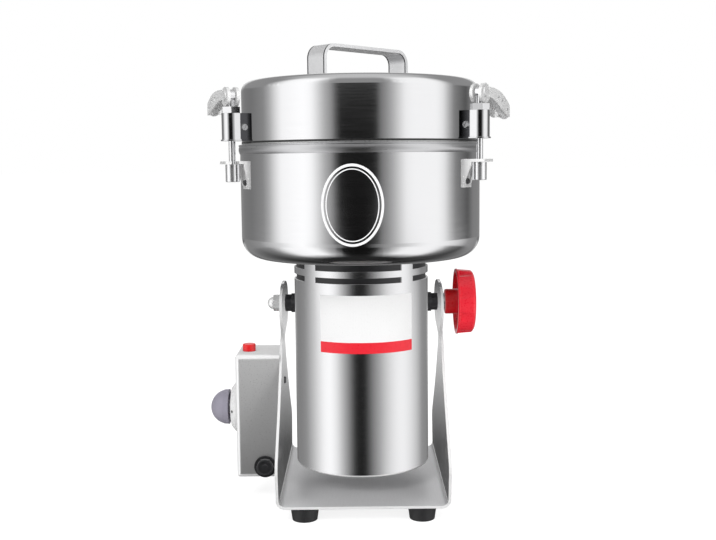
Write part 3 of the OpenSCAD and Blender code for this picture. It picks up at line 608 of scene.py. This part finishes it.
# Which CAD nodes each material is on
FINISH = {
    polished: ("bowl", "lid_shell", "bowl_flange"),
    satin_band: ("rim_band",),
    satin_round: ("motor_housing",),
    satin_floor: ("motor_floor",),
    satin_sheet: ("yoke",),
    hood_steel: ("latch_hoods",),
    pressed: ("hex_bushings",),
    light_steel: ("latch_brackets", "lever_right", "lever_left", "lever_rear", "dome_nut"),
    rod_steel: ("rod_right", "rod_left", "rod_rear"),
    strap: ("handle",),
    dark_steel: ("hood_screws",),
    bright: (
        "shaft", "bearings", "blade_low", "blade_mid", "blade_top", "blade_spacers", "blade_nut",
        "trunnion_bolt", "clamp_stud", "clamp_washer", "seal_hub", "timer_shaft", "foot_screws",
        "bowl_screws", "handle_screws",
    ),
    blackened: ("box_screw", "bracket_screws", "spacers"),
    box_paint: ("switch_box",),
    rubber: ("feet",),
    gasket: ("lid_gasket",),
    black_plastic: (
        "timer_body", "breaker_body", "fuse_holder", "fuse_cap", "cable_gland", "cooling_sleeve",
        "cooling_fan",
    ),
    red_plastic: ("reset_button",),
    knob_red: ("clamp_knob",),
    mauve: ("timer_knob",),
    white_plastic: ("dial_plate",),
    copper: ("field_coils", "armature_winding", "commutator"),
    laminated: ("stator", "armature"),
    cast: ("lower_bracket", "upper_bracket"),
    brass: ("brush_holders",),
    carbon: ("carbon_brushes",),
}
for material, names in FINISH.items():
    for name in names:
        for entry in NODES[name].material_slots:
            entry.material = material

# Only these show in reflections; the other pieces are masked out of them, as on a retouched
# product picture
MIRRORED = ("bowl", "lid_shell", "rim_band", "bowl_flange", "lid_gasket", "motor_floor")
for name, node in NODES.items():
    if name not in MIRRORED:
        node.visible_glossy = False


# ---------------------------------------------------------------- pieces on the frame
# How far off its wall a print's back is, and the faces of the ink and of the label
PRINT_BACK = 0.03 * MM
INK_FACE = 0.12 * MM
LABEL_FACE = 0.15 * MM


def add_mesh(name, verts, faces, material, body):
    """A closed piece that rides on a body, with its faces turned outwards."""
    mesh = bpy.data.meshes.new(name)
    mesh.from_pydata(verts, [], faces)
    solid = bmesh.new()
    solid.from_mesh(mesh)
    bmesh.ops.recalc_face_normals(solid, faces=solid.faces)
    solid.to_mesh(mesh)
    solid.free()
    mesh.materials.append(material)
    piece = bpy.data.objects.new(name, mesh)
    bpy.context.scene.collection.objects.link(piece)
    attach(piece, body)
    piece.visible_glossy = False


def on_drum(u, z, radius, out):
    """A point at a height z off a drum round the mill's axis: u runs along the wall from the front."""
    turn = u / radius
    away = radius + out
    return AXIS + Vector((away * math.sin(turn), -away * math.cos(turn), z))


def bar(sections, closed):
    """The points and faces of a bar through sections of four points, with ends unless closed."""
    count = len(sections)
    verts = [point for section in sections for point in section]
    faces = []
    for i in range(count if closed else count - 1):
        after = (i + 1) % count
        for k in range(4):
            j = (k + 1) % 4
            faces.append([i * 4 + k, after * 4 + k, after * 4 + j, i * 4 + j])
    if not closed:
        faces += [[3, 2, 1, 0], [(count - 1) * 4 + k for k in range(4)]]
    return verts, faces


# Bare label on the motor housing: white plate with a red band along its foot.
# Its sides are turns from the front, in degrees, and its edges heights.
LABEL_LEFT = -36.0
LABEL_RIGHT = 46.0
PLATE_HIGH = 200.4 * MM
PLATE_LOW = 157.5 * MM
BAND_LOW = 147.4 * MM
LABEL_STEP = 2.5 * MM


def make_label(name, material, low_z, high_z):
    """A rectangle on the housing's wall, as a clean grid."""
    left, right = (math.radians(turn) * HOUSING_R for turn in (LABEL_LEFT, LABEL_RIGHT))
    count = int((right - left) / LABEL_STEP)
    corners = ((low_z, PRINT_BACK), (low_z, LABEL_FACE), (high_z, LABEL_FACE), (high_z, PRINT_BACK))
    sections = []
    for i in range(count + 1):
        u = left + (right - left) * i / count
        sections.append([on_drum(u, z, HOUSING_R, out) for z, out in corners])
    verts, faces = bar(sections, closed=False)
    add_mesh(name, verts, faces, material, "head")


make_label("label_plate", paper, PLATE_LOW, PLATE_HIGH)
make_label("label_band", paper_red, BAND_LOW, PLATE_LOW)


# Plain double oval printed on the bowl, in the place of a mark: its middle, and each line's
# half width, half height and thickness
OVAL_U = -7.2 * MM
OVAL_Z = 284.0 * MM
OVALS = [
    ("oval_print_outer", 27.0 * MM, 35.0 * MM, 2.2 * MM),
    ("oval_print_inner", 23.0 * MM, 31.0 * MM, 0.9 * MM),
]
OVAL_STEPS = 72


def make_oval(name, half_u, half_z, width):
    """One oval line on the bowl's wall."""
    corners = ((0, PRINT_BACK), (0, INK_FACE), (width, INK_FACE), (width, PRINT_BACK))
    sections = []
    for i in range(OVAL_STEPS):
        turn = 2 * math.pi * i / OVAL_STEPS
        section = []
        for inset, out in corners:
            u = OVAL_U + (half_u - inset) * math.sin(turn)
            z = OVAL_Z + (half_z - inset) * math.cos(turn)
            section.append(on_drum(u, z, BOWL_R, out))
        sections.append(section)
    verts, faces = bar(sections, closed=True)
    add_mesh(name, verts, faces, silver_ink, "head")


for name, half_u, half_z, width in OVALS:
    make_oval(name, half_u, half_z, width)


# Minute marks printed on the flat ring round the timer knob, and a dot on the sloping rim.
# The gaps are from the knob to a long or a short mark, and from a mark to the flat ring's edge.
DIAL_R = 24 * MM
DIAL_RING = 19 * MM
DIAL_RIM = 2.5 * MM
KNOB_R = 16.9 * MM
TICKS = 31
TICK_STEP = math.radians(10)
LONG_EVERY = 5
LONG_HALF = 0.45 * MM
LONG_GAP = 0.4 * MM
SHORT_HALF = 0.22 * MM
SHORT_GAP = 1.0 * MM
RING_GAP = 0.2 * MM
DOT_R = 1.3 * MM
DOT_BACK = 0.05 * MM
DOT_TOP = 0.3 * MM
DOT_STEPS = 16
# The faces of a block whose points go by length, then by width, then by height
BLOCK = ((0, 1, 3, 2), (4, 6, 7, 5), (0, 4, 5, 1), (2, 3, 7, 6), (1, 5, 7, 3), (0, 2, 6, 4))


def make_dial_ticks():
    low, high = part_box("dial_plate")
    middle = Vector((low.x, (low.y + high.y) / 2, (low.z + high.z) / 2))
    verts, faces = [], []
    for i in range(TICKS):
        turn = TICK_STEP * (i - TICKS // 2)
        outwards = Vector((0, math.sin(turn), math.cos(turn)))
        across = Vector((0, math.cos(turn), -math.sin(turn)))
        half, gap = (LONG_HALF, LONG_GAP) if i % LONG_EVERY == 0 else (SHORT_HALF, SHORT_GAP)
        first = len(verts)
        for away in (KNOB_R + gap, DIAL_RING - RING_GAP):
            for side in (-half, half):
                for lift in (PRINT_BACK, INK_FACE):
                    verts.append(middle + outwards * away + across * side - Vector((lift, 0, 0)))
        faces += [[first + k for k in face] for face in BLOCK]
    add_mesh("dial_ticks", verts, faces, black_plastic, "stand")


def make_dial_dot():
    """A round dot at the front of the dial's slope."""
    low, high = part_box("dial_plate")
    slope = Vector((-(DIAL_R - DIAL_RING), -(high.x - low.x - DIAL_RIM), 0)).normalized()
    middle = Vector((
        (low.x + high.x - DIAL_RIM) / 2,
        (low.y + high.y) / 2 - (DIAL_R + DIAL_RING) / 2,
        (low.z + high.z) / 2,
    ))
    sideways = Vector((0, 0, 1))
    along = slope.cross(sideways)
    verts = []
    for lift in (DOT_BACK, DOT_TOP):
        for i in range(DOT_STEPS):
            turn = 2 * math.pi * i / DOT_STEPS
            rim = sideways * math.sin(turn) + along * math.cos(turn)
            verts.append(middle + slope * lift + rim * DOT_R)
    faces = []
    for i in range(DOT_STEPS):
        after = (i + 1) % DOT_STEPS
        faces.append([i, after, DOT_STEPS + after, DOT_STEPS + i])
    faces += [list(range(DOT_STEPS)), list(range(DOT_STEPS, 2 * DOT_STEPS))]
    add_mesh("dial_dot", verts, faces, black_plastic, "stand")


make_dial_ticks()
make_dial_dot()
